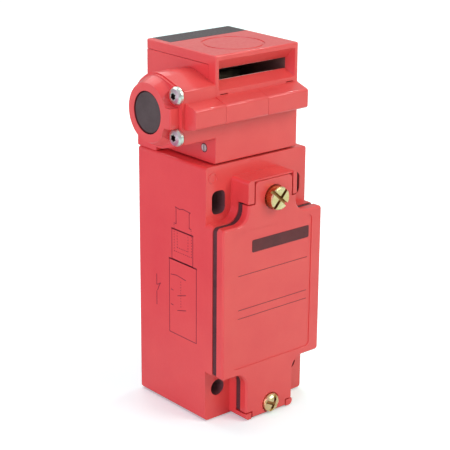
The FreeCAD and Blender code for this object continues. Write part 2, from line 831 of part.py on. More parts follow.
def make_cam_wheel():
    wheel = cylinder_x(wheel_radius, -wheel_half, wheel_half, 0, wheel_z)
    spiral = cam_outline()
    far = wheel_radius + 3
    start = math.radians(-10.0)
    stop = math.radians(70.0)
    outside = [
        Vector(0, far * math.sin(stop), wheel_z - far * math.cos(stop)),
        Vector(0, far, wheel_z - far * 1.4),
        Vector(0, -far * 0.4, wheel_z - far * 1.4),
        Vector(0, far * math.sin(start) * 1.6, wheel_z - far * math.cos(start)),
    ]
    curve = Part.BSplineCurve()
    curve.interpolate(spiral)
    corners = [spiral[-1]] + outside + [spiral[0]]
    edges = [curve.toShape()]
    for first, second in zip(corners, corners[1:]):
        edges.append(Part.makeLine(first, second))
    relief = Part.Face(Part.Wire(edges)).extrude(Vector(2 * cam_half, 0, 0))
    relief.translate(Vector(-cam_half, 0, 0))
    wheel = wheel.cut(relief)
    notches = []
    for turn in (28.0, -62.0):
        notch = box(-wheel_half - 1, wheel_half + 1, -wheel_notch / 2, wheel_notch / 2,
                    wheel_radius - wheel_notch_deep, wheel_radius + 2)
        notch.rotate(Vector(0, 0, 0), Vector(1, 0, 0), turn)
        notch.translate(Vector(0, 0, wheel_z))
        notches.append(notch)
    bore = cylinder_x(shaft_radius, -wheel_half - 1, wheel_half + 1, 0, wheel_z)
    return wheel.cut(notches + [bore]).removeSplitter()


def make_cam_shaft():
    return cylinder_x(shaft_radius, -block_face, block_face, 0, wheel_z)


def make_plunger():
    steepest = plunger_travel / math.radians(cam_turn) / cam_low_radius
    lift = cam_low_radius + plunger_tip / math.cos(math.atan(steepest)) + plunger_tip_gap
    tip_z = wheel_z - lift
    stem = cylinder_z(plunger_radius, stem_top, tip_z - 2.2)
    stem = stem.makeChamfer(0.6, edges_where(stem, lambda b: b.ZMin > tip_z - 2.2 - 1e-4))
    outline = [Vector(0, 0, tip_z - 2.4), Vector(plunger_tip, 0, tip_z - 2.4)]
    for step in range(7):
        angle = math.radians(15 * step)
        outline.append(Vector(plunger_tip * math.cos(angle), 0, tip_z + plunger_tip * math.sin(angle)))
    tip = Part.Face(Part.makePolygon(outline + outline[:1])).revolve(Vector(0, 0, 0), Vector(0, 0, 1), 360)
    return stem.fuse(tip).removeSplitter()


def pole_centres():
    return [pole * pole_pitch for pole in poles]


def front_strip(x):
    """An L-shaped strip: terminal plate in front, contact arm under the bridge's front end."""
    low = contact_level - strip_thick
    high = terminal_high_z + terminal_plate_half
    return prism_x([
        (strip_front, low, 0.0), (bridge_front + 1.6, low, 0.0), (bridge_front + 1.6, contact_level, 0.0),
        (strip_front + strip_thick, contact_level, 0.0), (strip_front + strip_thick, high, 0.0),
        (strip_front, high, 0.0),
    ], x - strip_width / 2, x + strip_width / 2)


def rear_strip(x):
    """A strip from the low terminal, back under the chamber and up to the bridge's rear end."""
    plate_low = terminal_low_z - terminal_plate_half
    low = terminal_low_z + terminal_plate_half
    far = bridge_rear + 1.9
    return prism_x([
        (strip_front, plate_low, 0.0), (strip_front + strip_thick, plate_low, 0.0),
        (strip_front + strip_thick, low, 0.0), (far, low, 0.0), (far, contact_level, 0.0),
        (bridge_rear - 1.6, contact_level, 0.0), (bridge_rear - 1.6, contact_level - strip_thick, 0.0),
        (far - strip_thick, contact_level - strip_thick, 0.0), (far - strip_thick, low + strip_thick, 0.0),
        (strip_front, low + strip_thick, 0.0),
    ], x - strip_width / 2, x + strip_width / 2)


def drilled(strip, x, z):
    return strip.cut(cylinder_y(small_shank / 2, strip_front - 1, strip_front + 2, x, z))


def make_fixed_contacts_front():
    return Part.makeCompound([drilled(front_strip(x), x, terminal_high_z) for x in pole_centres()])


def make_fixed_contacts_rear():
    return Part.makeCompound([drilled(rear_strip(x), x, terminal_low_z) for x in pole_centres()])


def terminal_places():
    return [(x, z) for x in pole_centres() for z in (terminal_low_z, terminal_high_z)]


def return_spring_places():
    return (-pole_pitch / 2, pole_pitch / 2)


def make_contact_block():
    half = cavity_half - block_side_gap
    rear = back - body_wall
    block = box(-half, half, block_front, rear, block_low, block_high)
    block = block.makeFillet(0.8, edges_where(block, lambda b: b.ZLength > 1))
    guide = carrier_half + carrier_gap
    chamber = box(-guide, guide, bridge_front - 0.8, bridge_rear + 0.8,
                  contact_level - strip_thick, block_high + 1)
    channel = box(-guide, guide, carrier_front - carrier_gap, carrier_rear + carrier_gap,
                  carrier_low - plunger_travel - carrier_gap, block_high + 1)
    cuts = [chamber, channel]
    for x in return_spring_places():
        cuts.append(cylinder_z(spring_hole_radius, return_floor, carrier_low, x, carrier_middle))
    for x, z in terminal_places():
        side = clamp_side / 2 + 0.9
        cuts.append(box(x - side, x + side, block_front - 1, block_front + terminal_sunk, z - side, z + side))
        cuts.append(cylinder_y(small_shank / 2, block_front, strip_front + terminal_screw_length, x, z))
    for x in pole_centres():
        cuts.append(front_strip(x))
        cuts.append(rear_strip(x))
    for x in (-block_screw_x, block_screw_x):
        cuts.append(cylinder_y(small_shank / 2, block_front - 1, rear + 1, x, block_screw_z))
    return block.cut(cuts).removeSplitter()


def make_contact_carrier():
    carrier = box(-carrier_half, carrier_half, carrier_front, carrier_rear, carrier_low, carrier_high)
    stem = cylinder_z(plunger_radius, carrier_high - 1, stem_top, 0, 0)
    seat = box(-plunger_radius, plunger_radius, -1.0, carrier_middle, carrier_high - 1.5, stem_top - 1.5)
    carrier = carrier.fuse([stem, seat])
    windows = []
    for x in pole_centres():
        windows.append(box(x - window_half, x + window_half, carrier_front - 3, carrier_rear + 1,
                           bridge_low, window_high))
    return carrier.cut(windows).removeSplitter()


def make_bridge_contacts():
    made = []
    for x in pole_centres():
        bridge = box(x - bridge_width / 2, x + bridge_width / 2, bridge_front, bridge_rear,
                     bridge_low, bridge_low + bridge_thick)
        made.append(bridge)
    return Part.makeCompound(made)


def make_bridge_springs():
    return Part.makeCompound([
        helix_spring(coil_radius, coil_wire_radius, 3, Vector(x, carrier_middle, bridge_low + bridge_thick),
                     Vector(0, 0, 1), bridge_spring_tall)
        for x in pole_centres()])


def make_return_springs():
    length = carrier_low - return_floor - 0.2
    return Part.makeCompound([
        helix_spring(coil_radius, coil_wire_radius, 5, Vector(x, carrier_middle, return_floor + 0.1),
                     Vector(0, 0, 1), length)
        for x in return_spring_places()])


def small_screw(x, z, seat, length):
    head = cylinder_y(terminal_head / 2, seat - terminal_head_high, seat, x, z)
    shank = cylinder_y(small_shank / 2, seat, seat + length, x, z)
    slot = box(x - terminal_head, x + terminal_head, seat - terminal_head_high - 1,
               seat - terminal_head_high + screw_slot_deep, z - screw_slot_half, z + screw_slot_half)
    return head.fuse(shank).cut(slot)


def make_terminal_clamps():
    made = []
    for x, z in terminal_places():
        clamp = box(x - clamp_side / 2, x + clamp_side / 2, strip_front - clamp_thick, strip_front,
                    z - clamp_side / 2, z + clamp_side / 2)
        bore = cylinder_y(small_shank / 2, strip_front - clamp_thick - 1, strip_front + 1, x, z)
        made.append(clamp.cut(bore))
    return Part.makeCompound(made)


def make_terminal_screws():
    seat = strip_front - clamp_thick
    return Part.makeCompound([small_screw(x, z, seat, terminal_screw_length) for x, z in terminal_places()])


def make_contact_block_screws():
    length = back - body_wall + block_screw_bite - block_front - 0.2
    places = (-block_screw_x, block_screw_x)
    return Part.makeCompound([small_screw(x, block_screw_z, block_front, length) for x in places])


def make_earth_clamp():
    clamp = box(earth_x - clamp_side / 2, earth_x + clamp_side / 2, earth_y - clamp_side / 2,
                earth_y + clamp_side / 2, cavity_low, cavity_low + clamp_thick)
    return clamp.cut(cylinder_z(small_shank / 2, cavity_low - 1, cavity_low + 2, earth_x, earth_y))


def make_earth_screw():
    seat = cavity_low + clamp_thick
    head = cylinder_z(terminal_head / 2, seat, seat + terminal_head_high, earth_x, earth_y)
    shank = cylinder_z(small_shank / 2, cavity_low - earth_screw_length, seat, earth_x, earth_y)
    slot = box(earth_x - terminal_head, earth_x + terminal_head,
               earth_y - screw_slot_half, earth_y + screw_slot_half,
               seat + terminal_head_high - screw_slot_deep, seat + terminal_head_high + 1)
    return head.fuse(shank).cut(slot)


pieces = {
    "body_casing": make_body_casing,
    "cover_gasket": make_cover_gasket,
    "front_cover": make_front_cover,
    "cover_screws": make_cover_screws,
    "head_seal": make_head_seal,
    "head_block": make_head_block,
    "head_hood": make_head_hood,
    "top_slot_plug": make_top_slot_plug,
    "front_bar_left": make_front_bar_left,
    "front_bar_right": make_front_bar_right,
    "side_housing": make_side_housing,
    "boss_cap": make_boss_cap,
    "boss_cap_screws": make_boss_cap_screws,
    "turret_set_screw": make_turret_set_screw,
    "head_retaining_clip": make_head_retaining_clip,
    "plunger_bush": make_plunger_bush,
    "release_button": make_release_button,
    "release_rod": make_release_rod,
    "lock_dog": make_lock_dog,
    "button_spring": make_button_spring,
    "cam_wheel": make_cam_wheel,
    "cam_shaft": make_cam_shaft,
    "plunger": make_plunger,
    "contact_carrier": make_contact_carrier,
    "bridge_contacts": make_bridge_contacts,
    "bridge_springs": make_bridge_springs,
    "return_springs": make_return_springs,
    "contact_block": make_contact_block,
    "fixed_contacts_front": make_fixed_contacts_front,
    "fixed_contacts_rear": make_fixed_contacts_rear,
    "terminal_screws": make_terminal_screws,
    "terminal_clamps": make_terminal_clamps,
    "contact_block_screws": make_contact_block_screws,
    "earth_screw": make_earth_screw,
    "earth_clamp": make_earth_clamp,
}

os.makedirs("parts", exist_ok=True)
for name, make in pieces.items():
    shape = make()
    shape.exportStep(os.path.join("parts", name + ".step"))
    print(name, "solids", len(shape.Solids), "valid", shape.isValid(), "volume", round(shape.Volume, 1))
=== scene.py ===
import json
import math

import bmesh
import bpy
from mathutils import Matrix, Vector


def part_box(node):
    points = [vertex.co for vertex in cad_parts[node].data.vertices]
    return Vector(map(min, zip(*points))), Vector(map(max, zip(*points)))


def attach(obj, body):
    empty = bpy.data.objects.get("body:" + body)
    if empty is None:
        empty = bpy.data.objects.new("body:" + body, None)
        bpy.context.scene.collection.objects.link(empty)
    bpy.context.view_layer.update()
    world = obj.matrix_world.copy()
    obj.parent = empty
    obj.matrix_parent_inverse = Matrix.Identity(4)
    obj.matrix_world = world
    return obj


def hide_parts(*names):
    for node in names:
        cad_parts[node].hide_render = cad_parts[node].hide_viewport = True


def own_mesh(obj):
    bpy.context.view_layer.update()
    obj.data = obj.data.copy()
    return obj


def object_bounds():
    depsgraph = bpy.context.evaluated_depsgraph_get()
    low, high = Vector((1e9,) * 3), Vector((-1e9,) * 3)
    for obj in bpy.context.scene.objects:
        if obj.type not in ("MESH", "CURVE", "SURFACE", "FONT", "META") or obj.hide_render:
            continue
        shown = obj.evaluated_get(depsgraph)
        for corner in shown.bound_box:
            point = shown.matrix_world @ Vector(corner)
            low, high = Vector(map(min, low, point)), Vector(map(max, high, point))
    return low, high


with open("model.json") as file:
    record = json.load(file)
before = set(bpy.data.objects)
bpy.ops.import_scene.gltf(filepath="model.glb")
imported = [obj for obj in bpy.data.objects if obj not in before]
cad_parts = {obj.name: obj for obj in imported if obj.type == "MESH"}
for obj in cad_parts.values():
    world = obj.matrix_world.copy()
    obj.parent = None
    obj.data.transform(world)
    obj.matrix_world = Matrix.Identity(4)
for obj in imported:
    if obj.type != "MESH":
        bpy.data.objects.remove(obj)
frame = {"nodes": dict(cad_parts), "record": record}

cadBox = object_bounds()
nodes = frame["nodes"]
scene = bpy.context.scene
scene.view_settings.view_transform = "Standard"
mm = 0.001


# sRGB bytes to a linear colour
def tone(red, green, blue):
    made = []
    for value in (red, green, blue):
        share = value / 255.0
        made.append(share / 12.92 if share <= 0.04045 else ((share + 0.055) / 1.055) ** 2.4)
    return made + [1.0]


# short calls that build a node tree
class Graph:
    def __init__(self, tree):
        self.tree = tree

    def add(self, kind, **inputs):
        node = self.tree.nodes.new(kind)
        for key, value in inputs.items():
            node.inputs[key.replace("_", " ")].default_value = value
        return node

    def link(self, source, target):
        self.tree.links.new(source, target)

    def maths(self, operation, first, second=None, clamp=False):
        node = self.add("ShaderNodeMath")
        node.operation = operation
        node.use_clamp = clamp
        for place, value in enumerate((first, second)):
            if isinstance(value, (int, float)):
                node.inputs[place].default_value = value
            elif value is not None:
                self.link(value, node.inputs[place])
        return node.outputs[0]

    def vector(self, operation, first, second=None):
        node = self.add("ShaderNodeVectorMath")
        node.operation = operation
        self.link(first, node.inputs[0])
        if second is not None:
            node.inputs[1].default_value = second
        return node.outputs[0]

    def axes(self, source):
        node = self.add("ShaderNodeSeparateXYZ")
        self.link(source, node.inputs[0])
        return node.outputs

    def stretch(self, source, fromLow, fromHigh, low, high):
        node = self.add("ShaderNodeMapRange")
        for key, value in (("From Min", fromLow), ("From Max", fromHigh), ("To Min", low), ("To Max", high)):
            node.inputs[key].default_value = value
        self.link(source, node.inputs["Value"])
        return node.outputs["Result"]

    # from one colour to another as the share rises
    def mixColour(self, share, under, over):
        node = self.add("ShaderNodeMix")
        node.data_type = "RGBA"
        self.link(share, node.inputs["Factor"])
        for place, value in ((6, under), (7, over)):
            if isinstance(value, (tuple, list)):
                node.inputs[place].default_value = value
            else:
                self.link(value, node.inputs[place])
        return node.outputs[2]


# a Principled material built from noise and regions in object coordinates
class Recipe(Graph):
    def __init__(self, name):
        self.material = bpy.data.materials.new(name)
        self.material.use_nodes = True
        super().__init__(self.material.node_tree)
        self.shader = self.tree.nodes["Principled BSDF"]
        self.place = self.add("ShaderNodeTexCoord").outputs["Object"]

    def noise(self, scale, detail, turned=(1.0, 1.0, 1.0)):
        grain = self.add("ShaderNodeTexNoise", Scale=scale, Detail=detail)
        mapping = self.add("ShaderNodeMapping", Scale=turned)
        self.link(self.place, mapping.inputs["Vector"])
        self.link(mapping.outputs["Vector"], grain.inputs["Vector"])
        return grain.outputs["Fac"]

    def colours(self, source, first, second):
        ramp = self.add("ShaderNodeValToRGB")
        for element, position, colour in zip(ramp.color_ramp.elements, (0.32, 0.68), (first, second)):
            element.position = position
            element.color = tone(*colour)
        self.link(source, ramp.inputs["Fac"])
        self.link(ramp.outputs["Color"], self.shader.inputs["Base Color"])

    def roughness(self, source, low, high):
        self.link(self.stretch(source, 0.3, 0.7, low, high), self.shader.inputs["Roughness"])

    def bump(self, source, height, strength):
        dent = self.add("ShaderNodeBump", Strength=strength, Distance=height)
        self.link(source, dent.inputs["Height"])
        self.link(dent.outputs["Normal"], self.shader.inputs["Normal"])

    # 1 inside a box between two corners in millimetres, else 0
    def insideBox(self, low, high):
        centre = [(a + b) / 2 * mm for a, b in zip(low, high)]
        half = [(b - a) / 2 * mm for a, b in zip(low, high)]
        shifted = self.vector("SUBTRACT", self.place, centre)
        apart = self.axes(self.vector("SUBTRACT", self.vector("ABSOLUTE", shifted), half))
        worst = self.maths("MAXIMUM", self.maths("MAXIMUM", apart[0], apart[1]), apart[2])
        return self.maths("LESS_THAN", worst, 0.0)

    # 1 inside a cylinder along an axis, in millimetres; centre gives the two other coordinates
    def insideRound(self, axis, centre, radius, low, high):
        spots = [value * mm for value in centre]
        spots.insert(axis, (low + high) / 2 * mm)
        apart = self.axes(self.vector("SUBTRACT", self.place, spots))
        flat = [apart[k] for k in range(3) if k != axis]
        squares = [self.maths("MULTIPLY", side, side) for side in flat]
        near = self.maths("LESS_THAN", self.maths("ADD", squares[0], squares[1]), (radius * mm) ** 2)
        along = self.maths("LESS_THAN", self.maths("ABSOLUTE", apart[axis]), (high - low) / 2 * mm)
        return self.maths("MULTIPLY", near, along)

    # another base colour inside the regions
    def shade(self, regions, colour):
        total = regions[0]
        for region in regions[1:]:
            total = self.maths("MAXIMUM", total, region)
        base = self.shader.inputs["Base Color"]
        self.link(self.mixColour(total, base.links[0].from_socket, tone(*colour)), base)


redPaint = {
    "light": (229, 81, 75), "deep": (225, 74, 71), "mottle": 90.0, "peel": 1100.0, "peelHeight": 0.00003,
    "roughLow": 0.40, "roughHigh": 0.50, "gloss": 0.42, "coat": 0.60, "coatRoughness": 0.12,
}
# painted shade and light in the red paint, at places in millimetres where little light comes in
fixingHoleShade = {"x": 15.0, "radius": 2.75, "front": -16.2, "back": 17.0, "roundZ": 10.0, "slotLow": 66.2,
               "slotHigh": 73.8, "tone": (116, 84, 84)}
headRoomLight = {"low": (-13.95, -12.95, 84.6), "high": (13.95, 14.1, 111.3), "tone": (242, 210, 200)}
headRightShade = {"low": (9.0, -12.95, 100.0), "high": (13.95, 14.1, 111.3), "tone": (122, 96, 84)}
buttonBoreShade = {"yz": (-4.3, 97.6), "radius": 6.5, "low": -31.8, "high": -27.5, "tone": (96, 44, 46)}
setScrewSeatShade = {"yz": (-11.0, 85.8), "radius": 1.4, "low": -16.4, "high": -15.5, "tone": (84, 34, 38)}


def makePaint():
    paint = Recipe("redPaint")
    paint.colours(paint.noise(redPaint["mottle"], 4.0), redPaint["deep"], redPaint["light"])
    peel = paint.noise(redPaint["peel"], 2.0)
    paint.roughness(peel, redPaint["roughLow"], redPaint["roughHigh"])
    paint.bump(peel, redPaint["peelHeight"], 0.6)
    paint.shader.inputs["Specular IOR Level"].default_value = redPaint["gloss"]
    paint.shader.inputs["Coat Weight"].default_value = redPaint["coat"]
    paint.shader.inputs["Coat Roughness"].default_value = redPaint["coatRoughness"]
    # painted shade: a darker tone inside the fixing holes and the upper fixing slots
    holes = []
    radius, front, back = (fixingHoleShade[key] for key in ("radius", "front", "back"))
    for x in (-fixingHoleShade["x"], fixingHoleShade["x"]):
        holes.append(paint.insideRound(1, (x, fixingHoleShade["roundZ"]), radius, front, back))
        holes.append(paint.insideBox((x - radius, front, fixingHoleShade["slotLow"]),
                                     (x + radius, back, fixingHoleShade["slotHigh"])))
    paint.shade(holes, fixingHoleShade["tone"])
    # painted light and shade inside the head: a pale tone lifts the shaded room, and a darker tone shades its
    # right wall
    for room in (headRoomLight, headRightShade):
        paint.shade([paint.insideBox(room["low"], room["high"])], room["tone"])
    # painted shade: darker rings in the button's bore and around the set screw
    for bore in (buttonBoreShade, setScrewSeatShade):
        dark = paint.insideRound(0, bore["yz"], bore["radius"], bore["low"], bore["high"])
        paint.shade([dark], bore["tone"])
    return paint.material


# light colour, dark colour, lowest and highest roughness
plasticFinish = {"cloud": 220.0, "grain": 1500.0, "height": 0.00002}
plastics = {
    "plugPlastic": ((66, 62, 64), (56, 52, 54), 0.40, 0.52),
    "buttonPlastic": ((80, 82, 75), (70, 72, 65), 0.46, 0.58),
    "gasketRubber": ((90, 54, 54), (74, 44, 44), 0.65, 0.80),
    "blockPlastic": ((52, 52, 55), (44, 44, 47), 0.45, 0.58),
    "carrierPlastic": ((228, 226, 216), (216, 213, 200), 0.42, 0.55),
    "printInk": ((96, 30, 34), (84, 26, 30), 0.40, 0.50),
    "sideInk": ((150, 44, 56), (136, 38, 50), 0.40, 0.50),
}


def makePlastic(name):
    light, dark, roughLow, roughHigh = plastics[name]
    plastic = Recipe(name)
    plastic.colours(plastic.noise(plasticFinish["cloud"], 4.0), dark, light)
    grain = plastic.noise(plasticFinish["grain"], 2.0)
    plastic.roughness(grain, roughLow, roughHigh)
    plastic.bump(grain, plasticFinish["height"], 0.5)
    return plastic.material


metalFinish = {"cloud": 260.0, "scratch": 900.0, "height": 0.000012, "turned": (1.0, 1.0, 1.0)}
metals = {
    "yellowZinc": ((240, 228, 176), (226, 204, 140), 0.24, 0.36),
    "brightSteel": ((228, 244, 232), (208, 224, 212), 0.28, 0.40),
    "springSteel": ((178, 178, 176), (150, 150, 150), 0.30, 0.42),
    "wheelSteel": ((138, 134, 122), (100, 98, 90), 0.32, 0.44),
    "bushBronze": ((196, 150, 96), (172, 126, 74), 0.30, 0.44),
    "contactSilver": ((214, 204, 180), (196, 184, 156), 0.24, 0.36),
}
wheelTurned = (6.0, 1.0, 1.0)


def startMetal(name, turned=metalFinish["turned"]):
    light, dark, roughLow, roughHigh = metals[name]
    metal = Recipe(name)
    metal.colours(metal.noise(metalFinish["cloud"], 4.0), dark, light)
    scratch = metal.noise(metalFinish["scratch"], 3.0, turned)
    metal.roughness(scratch, roughLow, roughHigh)
    metal.bump(scratch, metalFinish["height"], 0.5)
    metal.shader.inputs["Metallic"].default_value = 1.0
    return metal


# painted shade on the sides and in the crossed slots of the two cover screws, in millimetres
zincSideShade = {"xz": (0.0, 70.8), "radius": 3.8, "low": -26.9, "high": -23.9, "tone": (196, 150, 92)}
zincSlotShade = {"upper": ((0.0, 70.8), 3.45, -27.1, -25.9), "lower": ((0.0, 3.3), 1.9, -25.85, -24.8),
             "tone": (168, 126, 78)}


def makeZinc():
    zinc = startMetal("yellowZinc")
    # painted shade and painted red reflection on the sides of the screw heads
    zinc.shade([zinc.insideRound(1, zincSideShade["xz"], zincSideShade["radius"], zincSideShade["low"], zincSideShade["high"])],
               zincSideShade["tone"])
    # painted shade in the crossed slots
    zinc.shade([zinc.insideRound(1, *zincSlotShade[key]) for key in ("upper", "lower")], zincSlotShade["tone"])
    return zinc.material


capRecessShade = {"y": -14.6, "levels": (91.9, 104.1), "radius": 1.3, "low": -30.4, "high": -29.3,
             "tone": (96, 92, 90)}


def makeBright():
    steel = startMetal("brightSteel")
    # painted shade in the six-lobe recesses of the cap screws
    steel.shade([steel.insideRound(0, (capRecessShade["y"], z), capRecessShade["radius"], capRecessShade["low"],
                                   capRecessShade["high"]) for z in capRecessShade["levels"]], capRecessShade["tone"])
    return steel.material


finishes = {
    "red_paint": makePaint(),
    "black_plug": makePlastic("plugPlastic"),
    "button_black": makePlastic("buttonPlastic"),
    "gasket_rubber": makePlastic("gasketRubber"),
    "yellow_zinc_screw": makeZinc(),
    "bright_steel": makeBright(),
    "spring_steel": startMetal("springSteel").material,
    "wheel_steel": startMetal("wheelSteel", wheelTurned).material,
    "bronze": startMetal("bushBronze").material,
    "contact_silver": startMetal("contactSilver").material,
    "block_plastic": makePlastic("blockPlastic"),
    "carrier_plastic": makePlastic("carrierPlastic"),
}
slotOf = {part["node"]: part["material_slot"] for part in frame["record"]["subparts"]}
for name, thing in nodes.items():
    thing.data.materials.clear()
    thing.data.materials.append(finishes[slotOf[name]])
print("finishes on", len(nodes), "nodes")


# cast and moulded pieces get softened edges, widths in millimetres
softEdge = {"angle": 32.0, "segments": 2, "weld": 0.000002}
softEdgeWidths = {
    "body_casing": 0.25, "front_cover": 0.25, "head_block": 0.22, "head_hood": 0.25, "side_housing": 0.22,
    "boss_cap": 0.25, "front_bar_left": 0.22, "front_bar_right": 0.22, "top_slot_plug": 0.22,
    "release_button": 0.22, "cover_screws": 0.16,
}
for name, width in softEdgeWidths.items():
    weld = nodes[name].modifiers.new("weld", "WELD")
    weld.merge_threshold = softEdge["weld"]
    edge = nodes[name].modifiers.new("softEdge", "BEVEL")
    edge.width = width * mm
    edge.segments = softEdge["segments"]
    edge.limit_method = "ANGLE"
    edge.angle_limit = math.radians(softEdge["angle"])
    edge.use_clamp_overlap = True
print("soft edges on", len(softEdgeWidths), "nodes")


# scales a piece built in millimetres, turns and moves it, and puts it on the casing
def finishPiece(name, bm, material, turn=None, shift=(0, 0, 0)):
    bmesh.ops.scale(bm, vec=(mm, mm, mm), verts=bm.verts)
    if turn:
        bmesh.ops.rotate(bm, cent=(0, 0, 0), matrix=turn, verts=bm.verts)
    bmesh.ops.translate(bm, vec=[value * mm for value in shift], verts=bm.verts)
    bmesh.ops.recalc_face_normals(bm, faces=bm.faces)
    mesh = bpy.data.meshes.new(name)
    bm.to_mesh(mesh)
    bm.free()
    piece = bpy.data.objects.new(name, mesh)
    scene.collection.objects.link(piece)
    mesh.materials.append(material)
    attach(piece, "casing")
    return piece


# from the XY plane to the cover's face, and to the left face with x = Y and y = Z
toCover = Matrix.Rotation(math.radians(90), 3, "X")
toLeftFace = Matrix(((0, 0, 1), (1, 0, 0), (0, 1, 0)))
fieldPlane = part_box("front_cover")[0].y / mm + 0.25
inkDark = makePlastic("printInk")
inkSide = makePlastic("sideInk")
printThick = 0.06


# a thin printed line between two points of the XY plane
def addBar(bm, start, end, width):
    run = Vector((end[0] - start[0], end[1] - start[1], 0.0))
    made = bmesh.ops.create_cube(bm, size=1.0)["verts"]
    bmesh.ops.scale(bm, vec=(run.length + width * 0.96, width, printThick), verts=made)
    bmesh.ops.rotate(bm, cent=(0, 0, 0), matrix=Matrix.Rotation(math.atan2(run.y, run.x), 3, "Z"), verts=made)
    bmesh.ops.translate(bm, vec=((start[0] + end[0]) / 2, (start[1] + end[1]) / 2, 0), verts=made)


labelStrip = {"left": -8.4, "right": 14.7, "low": 54.8, "high": 58.7, "round": 0.5, "sunk": 0.01}


def makeLabelStrip():
    bm = bmesh.new()
    left, right, low, high = (labelStrip[key] for key in ("left", "right", "low", "high"))
    corners = bmesh.ops.create_grid(bm, x_segments=1, y_segments=1, size=0.5)["verts"]
    bmesh.ops.scale(bm, vec=(right - left, high - low, 1), verts=corners)
    bmesh.ops.bevel(bm, geom=corners, affect="VERTICES", offset=labelStrip["round"], segments=4,
                    profile=0.5, material=-1)
    lifted = bmesh.ops.extrude_face_region(bm, geom=bm.faces[:])["geom"]
    bmesh.ops.translate(bm, vec=(0, 0, printThick),
                        verts=[part for part in lifted if isinstance(part, bmesh.types.BMVert)])
    finishPiece("labelStrip", bm, inkDark, toCover,
                ((left + right) / 2, fieldPlane - labelStrip["sunk"], (low + high) / 2))


coverRules = {"left": -13.6, "right": 14.2, "levels": (48.4, 37.4, 34.65), "width": 0.16}


def makeCoverRules():
    bm = bmesh.new()
    for level in coverRules["levels"]:
        addBar(bm, (coverRules["left"], level), (coverRules["right"], level), coverRules["width"])
    finishPiece("coverRules", bm, inkDark, toCover, (0, fieldPlane, 0))


# the contact diagram on the left face, as (y, z) points in millimetres
diagram = {
    "thin": 0.24, "thick": 0.42, "dotted": 0.192, "dash": 0.35, "gap": 0.55, "face": -20.0,
    "boxes": (((0.9, 24.5), (0.9, 48.8), (-12.2, 48.8), (-12.2, 24.5)),
              ((-0.4, 49.0), (-0.4, 58.8), (-10.5, 58.8), (-10.5, 49.0))),
    "tops": (((0.9, 48.8), (-12.2, 48.8)), ((-0.4, 58.8), (-10.5, 58.8))),
    "tongue": ((-1.5, 60.7), (-2.5, 60.8), (-2.5, 65.6), (-2.2, 66.0), (-4.1, 65.7), (-5.8, 66.1),
               (-9.3, 65.8), (-8.8, 65.5), (-8.8, 60.8), (-9.7, 60.7)),
    "contacts": (((0.1, 43.7), (-2.6, 44.1), (-7.1, 43.6)), ((0.1, 38.8), (-0.9, 38.75)),
                 ((-3.2, 37.5), (-7.1, 38.7)), ((0.1, 33.85), (-0.9, 33.8)), ((-3.1, 32.6), (-7.1, 33.7)),
                 ((7.3, 41.6), (7.3, 38.2), (5.4, 38.95)), ((6.9, 36.4), (5.6, 39.2)),
                 ((7.3, 35.9), (7.3, 31.6))),
    "dots": (((-1.55, 58.2), (-1.55, 51.8), (-9.85, 51.8), (-9.85, 58.2)),
             ((-3.0, 57.9), (-3.0, 53.2), (-8.2, 53.2), (-8.2, 57.9)), ((-4.7, 42.5), (-4.7, 34.3)),
             ((-1.5, 60.3), (-1.5, 59.0)), ((-9.7, 60.3), (-9.7, 59.0))),
}


def addPath(bm, points, width):
    for start, end in zip(points, points[1:]):
        addBar(bm, start, end, width)


def addDots(bm, points, width):
    step = diagram["dash"] + diagram["gap"]
    for start, end in zip(points, points[1:]):
        run = Vector(end) - Vector(start)
        ahead = run.normalized()
        for count in range(int(run.length / step) + 1):
            first = Vector(start) + ahead * count * step
            addBar(bm, first, first + ahead * (diagram["dash"] - width * 0.625), width)


def makeContactDiagram():
    bm = bmesh.new()
    for box in diagram["boxes"]:
        addPath(bm, box + box[:1], diagram["thin"])
    for line in diagram["tops"]:
        addPath(bm, line, diagram["thick"])
    for line in (diagram["tongue"], *diagram["contacts"]):
        addPath(bm, line, diagram["thin"])
    for line in diagram["dots"]:
        addDots(bm, line, diagram["dotted"])
    finishPiece("contactDiagram", bm, inkSide, toLeftFace, (diagram["face"], 0, 0))


# the low raised ring in the upper left corner of the casing's front
pocketRing = {"x": -17.4, "z": 77.9, "radius": 1.55, "wide": 0.16, "high": 0.18, "face": -16.5, "steps": 48}


def makePocketRing():
    bm = bmesh.new()
    wide, high = pocketRing["wide"], pocketRing["high"]
    corners = [bm.verts.new((pocketRing["radius"] + across * wide, out * high, 0))
               for across, out in ((-1, 0.3), (1, 0.3), (0.5, -1), (-0.5, -1))]
    edges = [bm.edges.new((corners[k - 1], corners[k])) for k in range(4)]
    bmesh.ops.spin(bm, geom=corners + edges, cent=(0, 0, 0), axis=(0, 1, 0), angle=math.tau,
                   steps=pocketRing["steps"], use_merge=True)
    finishPiece("pocketRing", bm, finishes["red_paint"], None,
                (pocketRing["x"], pocketRing["face"], pocketRing["z"]))


makeLabelStrip()
makeCoverRules()
makeContactDiagram()
makePocketRing()
print("printed and raised marks")


# springs, in millimetres
buttonCoil = {"radius": 3.6, "wire": 0.4, "turns": 4, "low": -26.68, "high": -18.72, "y": -4.3, "z": 97.6,
              "keep": 0.62}
returnCoils = {"radius": 1.6, "wire": 0.3, "turns": 5, "low": 29.24, "high": 40.48, "places": (-5.0, 5.0),
               "y": 3.0, "keep": 0.73}
coilSteps = 24


